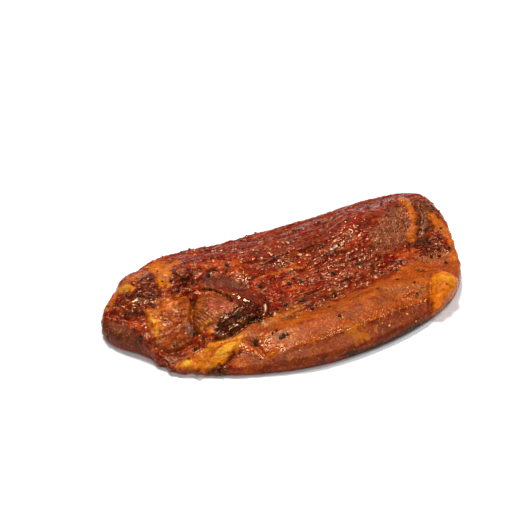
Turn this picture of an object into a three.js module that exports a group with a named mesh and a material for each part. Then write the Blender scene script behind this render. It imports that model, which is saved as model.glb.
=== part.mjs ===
import * as THREE from 'three';

// A raw, marinated beef steak as one solid, in millimetres. +X runs along the cut, +Y
// towards its thick back edge and +Z up. It lies flat, with the origin under its middle.

// Driving dimensions
const slabThickness = 13; // before the muscles swell it and the seams and hollows lower it
const stationsAround = 124; // points on each ring
const ringsOnTop = 20;
const ringsOnWall = 7;
const ringsBelow = 5;
const wallRounding = 3.6; // how far the side curls in, above and below, where it is 13 high
const roundingGain = 0.34; // more of it for each millimetre that the side is higher
const wallSquareness = 0.72; // 1 is an ellipse, less is squarer
const topMiddle = new THREE.Vector2(-4, -4); // where the rings of the top close
const plateauPower = 1.35; // more makes a muscle's top flatter and its flanks steeper

// The steak's widest outline, seen from above, from its left tip round by the front.
const outline = [
  [-107.5, -44], [-99, -54.5], [-81, -63.5], [-66, -74.5], [-43, -79], [-13, -78],
  [16, -72], [43, -60], [68, -44], [89, -25], [101.5, -8], [106.5, 8],
  [106, 26], [100.5, 52], [88, 73], [74, 79.5], [42, 70], [0, 52],
  [-42, 31], [-76, 13], [-93, -5], [-103.5, -30],
];

// Muscles and fat that swell the top: middle, half sizes, turn in degrees and height.
const swells = {
  backMuscle: { at: [62, 43], half: [46, 30], turn: 34, lift: 14 },
  backCorner: { at: [81, 61], half: [16, 19], turn: 20, lift: 5.5 },
  middleBand: { at: [0, 11], half: [62, 28], turn: 27, lift: 7.5 },
  frontRoll: { at: [43, -37], half: [57, 15.5], turn: 33, lift: 5.4 },
  rollStart: { at: [-6, -55], half: [24, 13], turn: 12, lift: 3.2 },
  nose: { at: [-69, -43], half: [18, 17], turn: -12, lift: 10.5 },
  eye: { at: [-40, -42], half: [14.5, 15], turn: 10, lift: 5.4 },
  foldedFlap: { at: [-21, -32], half: [11, 17], turn: -32, lift: 5.4 },
  leftEnd: { at: [-94, -27], half: [15, 17], turn: 30, lift: 9 },
  leftShoulder: { at: [-66, -3], half: [36, 18], turn: 24, lift: 9.5 },
  fatCushion: { at: [-36, -62], half: [12, 7], turn: 24, lift: 2.4 },
  rightNub: { at: [90, -10], half: [11, 16], turn: 18, lift: 1.8 },
};

// Places where the top lies lower.
const hollows = {
  frontLedge: { at: [-52, -73], half: [34, 12], turn: -2, lift: -7.5 },
  leftToe: { at: [-97, -51], half: [14, 9], turn: -30, lift: -2.5 },
  rightFlank: { at: [103, 9], half: [12, 20], turn: -6, lift: -2.5 },
};

// Seams between muscles, and the flank that slopes to the front edge: route, half width, depth.
const seams = {
  rollCrease: {
    route: [[-14, -49], [4, -42], [27, -27], [40, -14], [56, 0], [74, 13], [94, 11]],
    halfWidth: 6, depth: 3.3,
  },
  noseSeam: { route: [[-53, -27], [-52, -43], [-53, -65]], halfWidth: 5, depth: 4.2 },
  shoulderSeam: {
    route: [[-84, -24], [-66, -21], [-48, -18], [-32, -19], [-14, -27]],
    halfWidth: 5.5, depth: 2.8,
  },
  flapSeam: { route: [[-30, -53], [-31, -42], [-37, -30]], halfWidth: 4.5, depth: 1.2 },
  bandSeam: { route: [[-20, -2], [-2, 0], [12, 5], [22, 19], [27, 43]], halfWidth: 5.5, depth: 2.2 },
  frontFlank: {
    route: [[-14, -82], [17, -75.5], [44, -63.5], [69, -47.5], [87, -33]],
    halfWidth: 11, depth: 8,
  },
  nubSeam: { route: [[80, -25], [85, -13], [88, 3]], halfWidth: 4.5, depth: 1.8 },
};

// Height that one swell or hollow adds at a place on the top.
function riseAt(x, y, { at, half, turn, lift }) {
  const angle = THREE.MathUtils.degToRad(turn);
  const dx = x - at[0];
  const dy = y - at[1];
  const along = (dx * Math.cos(angle) + dy * Math.sin(angle)) / half[0];
  const across = (dy * Math.cos(angle) - dx * Math.sin(angle)) / half[1];
  return lift * Math.exp(-Math.pow(along * along + across * across, plateauPower));
}

// Distance from a place to the nearest leg of a seam.
function distanceToRoute(x, y, route) {
  const place = new THREE.Vector3(x, y, 0);
  const nearest = new THREE.Vector3();
  let least = Infinity;
  for (let i = 1; i < route.length; i += 1) {
    const leg = new THREE.Line3(
      new THREE.Vector3(...route[i - 1], 0),
      new THREE.Vector3(...route[i], 0),
    );
    leg.closestPointToPoint(place, true, nearest);
    least = Math.min(least, nearest.distanceTo(place));
  }
  return least;
}

function topHeight(x, y) {
  let height = slabThickness;
  for (const rise of [...Object.values(swells), ...Object.values(hollows)]) {
    height += riseAt(x, y, rise);
  }
  for (const seam of Object.values(seams)) {
    const away = distanceToRoute(x, y, seam.route) / seam.halfWidth;
    height -= seam.depth * Math.exp(-away * away);
  }
  return height;
}

// Evenly spaced stations on the outline, each with the direction that points inwards.
function outlineStations() {
  const corners = outline.map(([x, y]) => new THREE.Vector3(x, y, 0));
  const curve = new THREE.CatmullRomCurve3(corners, true, 'centripetal');
  const stations = [];
  for (let i = 0; i < stationsAround; i += 1) {
    const point = curve.getPointAt(i / stationsAround);
    const tangent = curve.getTangentAt(i / stationsAround);
    stations.push({ point, inward: new THREE.Vector3(-tangent.y, tangent.x, 0) });
  }
  return stations;
}

// The side at one station: its height and how far it curls in at the top and bottom.
function sideAt({ point, inward }) {
  const probe = point.clone().addScaledVector(inward, wallRounding);
  const height = topHeight(probe.x, probe.y);
  const curl = wallRounding + roundingGain * Math.max(0, height - slabThickness);
  return { height, curl };
}

// One ring of the side wall, from 0 at the flat underside to 1 at the top's edge.
function wallRing(stations, share) {
  const angle = Math.PI * (share - 0.5);
  const outwards = Math.pow(Math.cos(angle), wallSquareness);
  const upwards = Math.sign(angle) * Math.pow(Math.abs(Math.sin(angle)), wallSquareness);
  return stations.map((station) => {
    const { height, curl } = sideAt(station);
    const point = station.point.clone().addScaledVector(station.inward, curl * (1 - outwards));
    point.z = (height * (1 + upwards)) / 2;
    return point;
  });
}

// A ring part of the way from the wall's edge to the middle; the height is set after.
function innerRing(edge, share) {
  return edge.map((point) => new THREE.Vector3(
    THREE.MathUtils.lerp(point.x, topMiddle.x, share),
    THREE.MathUtils.lerp(point.y, topMiddle.y, share),
    0,
  ));
}

function steakRings() {
  const stations = outlineStations();
  const wall = [];
  for (let i = 0; i <= ringsOnWall; i += 1) {
    wall.push(wallRing(stations, i / ringsOnWall));
  }
  const underside = [];
  for (let i = ringsBelow - 1; i > 0; i -= 1) {
    underside.push(innerRing(wall[0], i / ringsBelow));
  }
  const top = [];
  const topEdge = wall[ringsOnWall];
  for (let i = 1; i < ringsOnTop; i += 1) {
    const ring = innerRing(topEdge, i / ringsOnTop);
    ring.forEach((point, k) => {
      // the top takes over gradually from the height that the wall ends at
      const takeover = Math.min(1, (2.5 * i) / ringsOnTop);
      const height = topHeight(point.x, point.y);
      point.z = THREE.MathUtils.lerp(topEdge[k].z, height, takeover);
    });
    top.push(ring);
  }
  return [...underside, ...wall, ...top];
}

// Joins the rings into one closed skin with a pole at each end.
function skinOver(rings) {
  const positions = [];
  const index = [];
  positions.push(topMiddle.x, topMiddle.y, 0);
  rings.flat().forEach((point) => positions.push(point.x, point.y, point.z));
  positions.push(topMiddle.x, topMiddle.y, topHeight(topMiddle.x, topMiddle.y));
  const lastPole = positions.length / 3 - 1;
  const at = (ring, k) => 1 + ring * stationsAround + (k % stationsAround);
  for (let k = 0; k < stationsAround; k += 1) {
    index.push(0, at(0, k + 1), at(0, k));
    for (let ring = 0; ring < rings.length - 1; ring += 1) {
      index.push(at(ring, k), at(ring, k + 1), at(ring + 1, k));
      index.push(at(ring, k + 1), at(ring + 1, k + 1), at(ring + 1, k));
    }
    index.push(at(rings.length - 1, k), at(rings.length - 1, k + 1), lastPole);
  }
  const geometry = new THREE.BufferGeometry();
  geometry.setAttribute('position', new THREE.Float32BufferAttribute(positions, 3));
  geometry.setIndex(index);
  return geometry;
}

// The origin goes under the middle of the box round the steak.
function centred(geometry) {
  geometry.computeBoundingBox();
  const middle = geometry.boundingBox.getCenter(new THREE.Vector3());
  geometry.translate(-middle.x, -middle.y, 0);
  geometry.computeVertexNormals();
  return geometry;
}

function makeSteak() {
  const marinatedMeat = new THREE.MeshStandardMaterial({
    color: 0x8c4526,
    roughness: 0.35,
    metalness: 0,
  });
  const steak = new THREE.Mesh(centred(skinOver(steakRings())), marinatedMeat);
  steak.name = 'steak';
  return steak;
}

const object = new THREE.Group();
object.add(makeSteak());

export default object;
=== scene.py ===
import random
from math import cos, pi, radians, sin

import bmesh
import bpy
import numpy as np
from mathutils import Matrix, Vector, noise
from mathutils.bvhtree import BVHTree


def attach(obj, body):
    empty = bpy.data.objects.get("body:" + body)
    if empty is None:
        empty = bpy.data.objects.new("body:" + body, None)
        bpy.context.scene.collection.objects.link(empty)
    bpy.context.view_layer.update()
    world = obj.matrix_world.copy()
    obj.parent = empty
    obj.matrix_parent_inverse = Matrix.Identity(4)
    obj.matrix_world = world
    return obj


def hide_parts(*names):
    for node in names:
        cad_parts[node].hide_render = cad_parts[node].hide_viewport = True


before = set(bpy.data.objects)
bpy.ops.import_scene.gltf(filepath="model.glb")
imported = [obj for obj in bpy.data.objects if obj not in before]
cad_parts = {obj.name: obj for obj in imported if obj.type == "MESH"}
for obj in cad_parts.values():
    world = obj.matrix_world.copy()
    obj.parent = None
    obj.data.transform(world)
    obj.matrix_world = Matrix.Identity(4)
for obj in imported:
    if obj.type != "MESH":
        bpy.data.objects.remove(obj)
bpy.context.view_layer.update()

# A raw steak in marinade. A fine skin is grown from the plain solid, then folded, roughened
# and coloured place by place, and pepper, seeds and spice are sprinkled on it. Places and
# sizes are in millimetres and angles in degrees, unless a note says otherwise.

mm = 0.001


def addObject(name, data):
    made = bpy.data.objects.new(name, data)
    bpy.context.scene.collection.objects.link(made)
    return made


def asMesh(shape, name):
    mesh = bpy.data.meshes.new(name)
    shape.to_mesh(mesh)
    shape.free()
    return mesh


viewpoint = {
    "lookAt": (-17.7, 36.2, 0),  # on the floor
    "distance": 889,
    "elevation": 36,  # above the floor
    "lens": 100,
    "sensor": 36,
}


def placeCamera(setup):
    data = bpy.data.cameras.new("tableCamera")
    data.lens = setup["lens"]
    data.sensor_width = setup["sensor"]
    data.clip_end = 50  # metres
    camera = addObject("tableCamera", data)
    tilt = radians(setup["elevation"])
    back = Vector((0, -cos(tilt), sin(tilt)))
    camera.location = (Vector(setup["lookAt"]) + back * setup["distance"]) * mm
    camera.rotation_mode = "QUATERNION"
    camera.rotation_quaternion = (-back).to_track_quat("-Z", "Y")
    bpy.context.scene.camera = camera


studio = {
    # strength, the angle that the light spans, and how far it leans about X and Y
    "lamps": {
        "overhead": (2.7, 12, (-19, -10)),
        "frontFill": (0.40, 60, (46, -12)),
        "frontSpark": (0.45, 6, (27, 6)),
        "rightSpark": (1.0, 9, (-11, 20)),
    },
    "horizon": 0.64,  # brightness of the surroundings at floor level
    "above": 0.14,  # and higher up
    "fade": (0.08, 0.22),  # where the one turns into the other, straight up being 1
}


def lightStudio(setup):
    for name, (strength, spread, lean) in setup["lamps"].items():
        data = bpy.data.lights.new(name, "SUN")
        data.energy = strength
        data.angle = radians(spread)
        addObject(name, data).rotation_euler = [radians(a) for a in lean] + [0]

    world = bpy.data.worlds.new("paleStudio")
    bpy.context.scene.world = world
    world.use_nodes = True
    nodes, links = world.node_tree.nodes, world.node_tree.links
    nodes.clear()
    where = nodes.new("ShaderNodeTexCoord")
    height = nodes.new("ShaderNodeSeparateXYZ")
    fade = nodes.new("ShaderNodeValToRGB")
    for stop, position, name in zip(fade.color_ramp.elements, setup["fade"], ("horizon", "above")):
        stop.position = position
        stop.color = [setup[name]] * 3 + [1]
    back = nodes.new("ShaderNodeBackground")
    out = nodes.new("ShaderNodeOutputWorld")
    links.new(where.outputs["Generated"], height.inputs[0])
    links.new(height.outputs["Z"], fade.inputs["Fac"])
    links.new(fade.outputs["Color"], back.inputs["Color"])
    links.new(back.outputs["Background"], out.inputs["Surface"])


paleFloor = {
    "reach": 6.0,  # metres
    "brightness": 0.92,
    "roughness": 0.6,
    "specular": 0.2,
}


def layFloor(setup):
    shape = bmesh.new()
    bmesh.ops.create_grid(shape, x_segments=1, y_segments=1, size=setup["reach"])
    floor = addObject("paleFloor", asMesh(shape, "paleFloor"))
    paint = bpy.data.materials.new("paleFloor")
    paint.use_nodes = True
    shader = paint.node_tree.nodes["Principled BSDF"]
    shader.inputs["Base Color"].default_value = [setup["brightness"]] * 3 + [1]
    shader.inputs["Roughness"].default_value = setup["roughness"]
    shader.inputs["Specular IOR Level"].default_value = setup["specular"]
    floor.data.materials.append(paint)


placeCamera(viewpoint)
lightStudio(studio)
layFloor(paleFloor)
bpy.context.scene.view_settings.view_transform = "Standard"
print("camera, light and floor are in place")


def linear(red, green, blue):
    # a colour as seen on screen, 0 to 255, turned into light
    share = np.array([red, green, blue]) / 255
    return np.where(share <= 0.04045, share / 12.92, ((share + 0.055) / 1.055) ** 2.4)


def ease(value, low, high):
    # from 0 at low to 1 at high, with a soft start and end
    share = np.clip((value - low) / (high - low), 0, 1)
    return share * share * (3 - 2 * share)


noiseBuild = {
    "seedSteps": (17.3, 5.1, 9.7),  # how far one seed's noise is from the next one's, in blobs
    "gain": 1.6,  # brings plain noise to about -1 to 1
    "layeredGain": 1.3,  # and this the noise of several octaves
    "fading": 0.9,  # more makes the finer octaves weaker
    "finer": 2.1,  # how much smaller each octave's blobs are than the last one's
}


def noiseAt(places, size, seed=0, octaves=1, stretch=None):
    # one noise value for each place, about -1 to 1; size is that of one blob, and stretch is
    # the direction that the blobs are drawn out in and how many times
    shift = Vector([seed * step for step in noiseBuild["seedSteps"]])
    scaled = places / size
    if stretch is not None:
        turn, longer = radians(stretch[0]), stretch[1]
        along = scaled[:, 0] * cos(turn) + scaled[:, 1] * sin(turn)
        across = scaled[:, 1] * cos(turn) - scaled[:, 0] * sin(turn)
        scaled = np.stack([along / longer, across, scaled[:, 2]], 1)
    if octaves == 1:
        return np.array([noise.noise(Vector(p) + shift) for p in scaled]) * noiseBuild["gain"]
    kind = noiseBuild["fading"], noiseBuild["finer"], octaves
    return np.array([noise.fractal(Vector(p) + shift, *kind) for p in scaled]) * noiseBuild["layeredGain"]


def wanderAt(places, size, seed, octaves=1):
    # a sideways shift for each place, so that no edge runs true
    return np.stack([noiseAt(places, size, number, octaves) for number in (seed, seed + 1)], 1)


def curveThrough(points, steps=6):
    # a Catmull-Rom curve through the places of a route
    p = np.array(points, float)
    p = np.vstack([2 * p[0] - p[1], p, 2 * p[-1] - p[-2]])
    t = np.linspace(0, 1, steps, endpoint=False)[:, None]
    legs = []
    for a, b, c, d in zip(p, p[1:], p[2:], p[3:]):
        bend = (2 * a - 5 * b + 4 * c - d) * t**2 + (3 * b - a - 3 * c + d) * t**3
        legs.append(b + 0.5 * ((c - a) * t + bend))
    return np.vstack(legs + [p[-2:-1]])


def awayFrom(places, points, closed=False):
    # distance from each place to a route, the side it lies on and the share of the way along;
    # a closed route is an outline of straight legs
    route = np.array(points, float) if closed else curveThrough(points)
    nearest = np.full(len(places), np.inf)
    side = np.zeros(len(places))
    along = np.zeros(len(places))
    for i in range(len(route) - 1):
        leg = route[i + 1] - route[i]
        share = np.clip((places - route[i]) @ leg / (leg @ leg), 0, 1)
        gap = places - route[i] - share[:, None] * leg
        distance = np.hypot(gap[:, 0], gap[:, 1])
        closer = distance < nearest
        nearest[closer] = distance[closer]
        side[closer] = np.sign(leg[0] * gap[:, 1] - leg[1] * gap[:, 0])[closer]
        along[closer] = (i + share[closer]) / (len(route) - 1)
    return nearest, side, along


def pastEdge(places, corners):
    # distance from the edge of an outline, below 0 inside it
    away = awayFrom(places, list(corners) + [corners[0]], closed=True)[0]
    inside = np.zeros(len(places), bool)
    for (x1, y1), (x2, y2) in zip(corners, corners[1:] + corners[:1]):
        between = (places[:, 1] < y1) != (places[:, 1] < y2)
        crossing = x1 + (places[:, 1] - y1) * (x2 - x1) / ((y2 - y1) or 1e-9)
        inside ^= between & (places[:, 0] < crossing)
    return np.where(inside, -away, away)


def oval(x, y, halfLong, halfWide, turn=0):
    return {"at": (x, y), "half": (halfLong, halfWide), "turn": turn}


def band(route, width):
    # width is on each side of the route
    return {"route": route, "width": width}


def withinOval(places, spot):
    # 0 in the middle of an oval, 1 on its edge
    angle = radians(spot["turn"])
    x = places[:, 0] - spot["at"][0]
    y = places[:, 1] - spot["at"][1]
    along = (x * cos(angle) + y * sin(angle)) / spot["half"][0]
    across = (y * cos(angle) - x * sin(angle)) / spot["half"][1]
    return np.hypot(along, across)


def beyond(places, spot):
    # distance from the edge of a band, an oval or a named area, below 0 inside it
    if isinstance(spot, str):
        return pastEdge(places, areas[spot])
    if "route" in spot:
        return awayFrom(places, spot["route"])[0] - spot["width"]
    return (withinOval(places, spot) - 1) * min(spot["half"])


skinBuild = {
    "merge": 0.005,  # corners nearer than this become one
    "rounding": 2,  # rounds of subdivision
    "voxel": 0.69,
    "smoothing": 0.5,
    "evenings": 8,  # rounds of it
    "thinning": 4,  # rounds of merging faces of the flat underside, which leaves more for the top
    "underside": 0.35,  # how high that one reaches
}


def fineSkin(setup):
    shape = bmesh.new()
    shape.from_mesh(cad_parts["steak"].data)
    bmesh.ops.remove_doubles(shape, verts=shape.verts, dist=setup["merge"] * mm)
    bmesh.ops.join_triangles(
        shape, faces=shape.faces, angle_face_threshold=pi, angle_shape_threshold=pi
    )
    skin = addObject("meat", asMesh(shape, "meat"))
    rounder = skin.modifiers.new("rounder", "SUBSURF")
    rounder.levels = rounder.render_levels = setup["rounding"]
    even = skin.modifiers.new("even", "REMESH")
    even.mode = "VOXEL"
    even.voxel_size = setup["voxel"] * mm
    ironed = skin.modifiers.new("ironed", "SMOOTH")
    ironed.factor = setup["smoothing"]
    ironed.iterations = setup["evenings"]
    depsgraph = bpy.context.evaluated_depsgraph_get()
    finished = bpy.data.meshes.new_from_object(skin.evaluated_get(depsgraph))
    skin.modifiers.clear()
    skin.data = finished
    thinned = bmesh.new()
    thinned.from_mesh(finished)
    low = [vert for vert in thinned.verts if vert.co.z < setup["underside"] * mm]
    flat = [vert for vert in low if vert.normal.z < -0.995]
    bmesh.ops.unsubdivide(thinned, verts=flat, iterations=setup["thinning"])
    thinned.to_mesh(finished)
    thinned.free()
    return skin


def readVectors(source, name):
    values = np.empty(len(source) * 3, np.float32)
    source.foreach_get(name, values)
    return values.reshape(-1, 3).astype(float)


# Outlines of the parts of the top that differ from what lies round them, seen from above.
areas = {
    "eye": [(-50, -24), (-43, -21), (-37, -23.5), (-33, -27.5), (-29.5, -33.5), (-28, -39), (-32, -44.5),
            (-37, -48.5), (-41, -52), (-45, -54.5), (-50.5, -52.5), (-53, -47), (-52.5, -40),
            (-51.5, -31)],
    "darkSlope": [(-28.5, -36), (-21, -36.5), (-15.5, -38.5), (-15, -42.5), (-20, -47), (-24, -51),
                  (-29, -55.5), (-34, -58), (-39, -58.5), (-42.5, -55.5), (-40, -51), (-35.5, -46.5),
                  (-31, -42.5)],
    "valley": [(-16, -26), (-11, -27), (-9.5, -36), (-12, -43), (-15.5, -48), (-19, -47), (-14.5, -38)],
    "fatMain": [(-47.5, -64), (-43, -60), (-38, -58.5), (-32, -57.5), (-27.5, -61), (-27, -66),
                (-31, -71.5), (-34, -75), (-38, -78.5), (-43, -77.5), (-47.5, -72)],
    "kernel": [(-41.5, -68.5), (-38, -65), (-33.5, -62.7), (-28.5, -61.7), (-28.7, -64.5), (-32, -68),
               (-36, -70.8), (-40, -71.5)],
    "smallKernel": [(-41.5, -73.5), (-40, -77.5), (-37, -77.5), (-35.5, -75), (-38, -73)],
    "paleKernel": [(-59.5, -76), (-57, -71.5), (-53.5, -71.5), (-52.5, -75.5), (-55, -78), (-58.5, -78)],
    "smallLobes": [(-52, -79), (-50, -73.5), (-47, -74.5), (-47.5, -79)],
    "greyPatch": [(-57, -49.5), (-54, -50.5), (-52.5, -53.5), (-53.5, -56.5), (-57, -56), (-59, -53)],
    "fatFoot": [(-63, -77), (-60, -73), (-54, -71), (-48, -70), (-44, -73), (-46, -78.5), (-54, -79),
                (-60, -79.5)],
    "fringe": [(-84, -61), (-78, -64), (-68, -67.5), (-58, -66), (-50, -66), (-44, -71), (-46, -80),
               (-58, -80), (-70, -75), (-80, -68)],
    "nose": [(-72, -34), (-62, -31), (-56, -27), (-53.5, -36), (-52, -46), (-54, -55), (-58, -61),
             (-66, -66), (-73, -65.5), (-78, -62), (-79.5, -54), (-79, -44)],
    "darkTriangle": [(-81, -12), (-75, -19), (-71.5, -30), (-80, -33.5), (-91, -32), (-86, -22)],
    "orangeField": [(-92, -22), (-86, -8), (-81, 3), (-72, 5), (-62, 1), (-66, -7), (-69, -13),
                    (-68, -21), (-71.5, -26), (-76, -17), (-82, -11), (-86, -20)],
    "rimFat": [(-101, -33), (-97.5, -27), (-92, -24.5), (-87.5, -27), (-91, -29.5), (-96, -31)],
    "strip": [(-52, -15), (-46, -11), (-38, -10), (-31, -12), (-24, -17.5), (-18.5, -27), (-15, -36),
              (-18, -37.5), (-21.5, -35), (-26, -32.5), (-29.5, -27.5), (-36.5, -20.5), (-43, -18.5),
              (-50, -17)],
    "darkRing": [(-69, -13), (-65.5, -8), (-59, -7), (-54.5, -10.5), (-55.5, -15), (-62, -17)],
    "orangeBand": [(-58, -10), (-50, -4), (-40, 0), (-28, 2), (-24, -3), (-32, -8), (-44, -9.5)],
    "clot": [(-97, -38), (-92, -34), (-86, -33), (-80, -36), (-78, -42), (-85, -44), (-93, -43)],
    "toe": [(-110, -45), (-104, -45), (-99, -45.5), (-92, -48.5), (-84, -56), (-79, -62.5), (-76, -68),
            (-84, -72), (-110, -60)],
    "backMeat": [(50, 19), (57, 31), (66, 49), (73, 50), (76, 38), (74, 26), (67, 16), (56, 11)],
    "backBrown": [(79, 62), (81, 50), (81.5, 40), (81, 31), (89, 33), (95, 40), (97, 50), (88, 62)],
    "darkRight": [(70, 17), (78, 28), (88, 33), (97, 33), (99, 24), (92, 17), (80, 15)],
    "nub": [(87, -31), (85.5, -25), (86, -17), (87, -9), (87.5, -2), (91, 2.5), (97, 2.5), (102, -4),
            (102, -14), (96, -25)],
    "nubTop": [(88, -12), (89, -4), (95, 0.5), (101, -4), (100, -12), (95, -14)],
    "mottledFat": [(32, -52), (38, -49), (44, -49), (46, -53), (45, -58), (40, -60), (35, -57)],
    "flake": [(-14, -73), (-11, -70), (-6, -68.5), (-6, -71), (-10, -73.5)],
    "wetPink": [(28, -9), (36, -2), (46, 6), (57, 11), (58, 4), (46, -3), (36, -8)],
}

# Routes on the top that more than one fold, colour, face or glaze follows.
flapRoute = [(-51, -17), (-46, -18.5), (-40, -20), (-35.5, -22.5), (-32, -27), (-29, -32), (-25.5, -34.5),
             (-20.5, -36.5), (-16, -39)]
underFlapRoute = [(-46, -19.5), (-42, -20.8), (-38.3, -23.2), (-35, -27.8), (-32.6, -32.5),
                  (-30.2, -36.5)]
slopeFootRoute = [(-13.5, -41), (-17, -45), (-21.5, -49.5), (-26.5, -54), (-32, -57.8), (-38, -59.3),
                  (-43, -58)]
crackRoute = [(-54.5, -23.5), (-54, -28), (-53.7, -37), (-54, -42.5), (-54.3, -46.5), (-53, -49.5),
              (-51.5, -52.5), (-50, -55)]
fatSeamRoute = [(-16, -13), (-9, -8), (-4, -4.5), (3, -2.5), (9, -2.5), (13, 3), (18, 10), (26, 13)]
lipRoute = [(-28, -62), (-18, -68.5), (-8, -70), (4, -65), (15, -61), (25, -55.5), (37, -49.5), (48, -43),
            (60, -35.5), (72, -27.5), (82, -22.5)]
noseStreakRoute = [(-79, -42), (-76.5, -48), (-74.5, -52.5), (-73, -55.5), (-74.5, -59), (-74, -62)]
noseBranchRoute = [(-63.5, -43), (-62.5, -38.5), (-59.5, -32.5), (-58, -28)]
kernelCreaseRoute = [(-42, -67.5), (-38.5, -63.8), (-33.5, -61.3), (-28.5, -60.5)]
kernelSplitRoute = [(-40.5, -70), (-36.5, -67), (-31, -64)]
footCreaseRoute = [(-45, -79.5), (-41.5, -79), (-36, -77.5), (-32.5, -72.5), (-29, -69), (-26, -67)]
tendonRoute = [(-57.5, -26.5), (-56, -33), (-55.8, -40), (-56.5, -44.5)]
eyeStreakRoute = [(-50, -53), (-47, -51), (-44.5, -48.5)]
valleyRoute = [(-13, -33), (-12, -37), (-13, -40.5), (-15, -45)]
stripeRoute = [(73, 62), (77, 55), (79, 48), (79.5, 40), (79, 34), (76, 27)]
nubSplitRoute = [(99, -22), (95, -14), (90, -9)]
rollMiddle = [(-16, -66), (8, -60), (30, -47), (55, -32), (78, -14), (92, 4)]


def fold(route, lift, left, right, lean=0):
    return {"route": route, "lift": lift, "left": left, "right": right, "lean": lean}


# Folds, cracks and cords of fat: the route, the height, below 0 for a groove, the half widths
# to its left and right, and how far the crest leans to the left, below 0 to the right.
foldPlaces = {
    "flapCrest": fold(flapRoute, 2.2, 7.5, 3.4, -0.9),
    "flapRim": fold(flapRoute, 0.3, 1.6, 2.0),
    "flapUnder": fold(underFlapRoute, -2.0, 0.8, 1.0),
    "valleyRidge": fold(valleyRoute, 0.9, 1.3, 1.5),
    "slopeRidge": fold([(-39, -52), (-36, -49.5), (-32.5, -47), (-29, -44), (-26, -41.5), (-22, -39.5)],
                       1.3, 1.3, 2.4),
    "slopeGroove": fold([(-39, -55), (-33, -52.5), (-27.5, -48), (-22, -44)], -0.9, 1, 1),
    "slopeFoot": fold(slopeFootRoute, -1.9, 1.5, 1.3),
    "eyeStreak": fold(eyeStreakRoute, 0.9, 1.0, 1.0),
    "noseSeam": fold(crackRoute, -4.2, 1.3, 1.5),
    "noseTendon": fold(tendonRoute, 0.5, 0.9, 0.9),
    "noseUnder": fold([(-79, -62), (-72, -66), (-64, -66.5), (-57, -62), (-52, -58)], -2.2, 1.3, 1.3),
    "noseStreak": fold(noseStreakRoute, 0.9, 1.4, 1.4),
    "noseBranch": fold(noseBranchRoute, 0.7, 1.2, 1.2),
    "rollCrease": fold([(-16, -50), (-6, -43), (6, -33), (18, -24), (32, -13), (46, -4), (61, 3.5),
                        (72, 11), (84, 14)], 0.8, 2.5, 3.5),
    "fatSeam": fold(fatSeamRoute, 0.9, 1.8, 1.8),
    "bandFold": fold([(-30, 2), (-18, 4), (-6, 7), (6, 12), (18, 17), (30, 21)], 1.3, 3.5, 1.2),
    "middleFold": fold([(2, -26), (12, -21), (24, -13), (36, -7), (48, 0)], 0.9, 2.5, 1.2),
    "upperFold": fold([(-8, -13), (2, -10), (14, -3), (28, 5), (42, 12)], -1.0, 1.5, 1.2),
    "hiddenFold": fold([(-60, 12), (-40, 18), (-20, 24), (2, 34), (24, 46), (46, 56)], 1.4, 4, 1.4),
    "hiddenSeam": fold([(-44, 8), (-20, 13), (0, 20), (20, 31), (40, 42), (56, 54)], -1.2, 1.4, 1.8),
    "backStripe": fold(stripeRoute, 1.0, 2.6, 2.6),
    "backGroove": fold([(83, 58), (84.5, 48), (84, 38), (80, 29)], -1.4, 1.4, 1.4),
    "lipCrease": fold([(-27, -60), (-21, -61), (-17, -64.5), (-12, -71), (-7, -75)], -1.2, 1.0, 1.2),
    "lip": fold(lipRoute, 0.9, 3.0, 2.6),
    "wallFold": fold([(-24, -77.5), (-12, -78), (0, -76), (8, -74)], -0.6, 1.0, 1.0),
    "kernelCrease": fold(kernelCreaseRoute, -1.2, 0.8, 0.8),
    "kernelSplit": fold(kernelSplitRoute, -0.8, 0.7, 0.7),
    "fatCreaseLeft": fold([(-46, -62), (-43, -66), (-42, -71)], -1.0, 0.9, 0.9),
    "fatFootCrease": fold(footCreaseRoute, -1.6, 1.2, 1.2),
    "nubSeam": fold([(86, -32), (84.5, -25), (85, -17), (86, -9), (86.5, -1), (90, 4), (97, 4)], -1.9,
                    1.2, 1.2),
    "nubSplit": fold(nubSplitRoute, -1.1, 1.1, 1.1),
    "nubCrack": fold([(93, -28), (91, -21), (91, -15)], -0.8, 0.9, 0.9),
    "shoulderFold": fold([(-86, -24), (-78, -29), (-70, -30), (-60, -27), (-54, -22)], -1.6, 2.0, 2.0),
    "clotFold": fold([(-100, -40), (-93, -44), (-85, -45), (-79, -43)], -1.0, 1.4, 1.4),
    "toeRim": fold([(-104, -44), (-99, -43.5), (-92, -47), (-85, -54), (-80, -61)], 0.8, 1.4, 1.4),
}

# Pillows of fat and meat: the height in the middle and how far in from the edge it is reached.
pillowPlaces = {
    "eye": (0.5, 5),
    "fatMain": (1.5, 4),
    "kernel": (1.4, 2.2),
    "smallKernel": (1.2, 1.6),
    "paleKernel": (1.5, 2),
    "smallLobes": (1.3, 1.6),
    "greyPatch": (1.0, 2),
    "fatFoot": (0.8, 3),
    "fringe": (0.8, 3),
    "rimFat": (1.4, 2.2),
    "clot": (1.2, 3),
    "darkRing": (1.1, 2.4),
    "darkTriangle": (0.8, 2.0),
    "orangeBand": (0.6, 2.4),
    "nub": (2.4, 4),
    "nubTop": (0.5, 3),
    "mottledFat": (0.5, 2),
    "flake": (1.0, 1.2),
    "backBrown": (0.6, 3),
}


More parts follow.
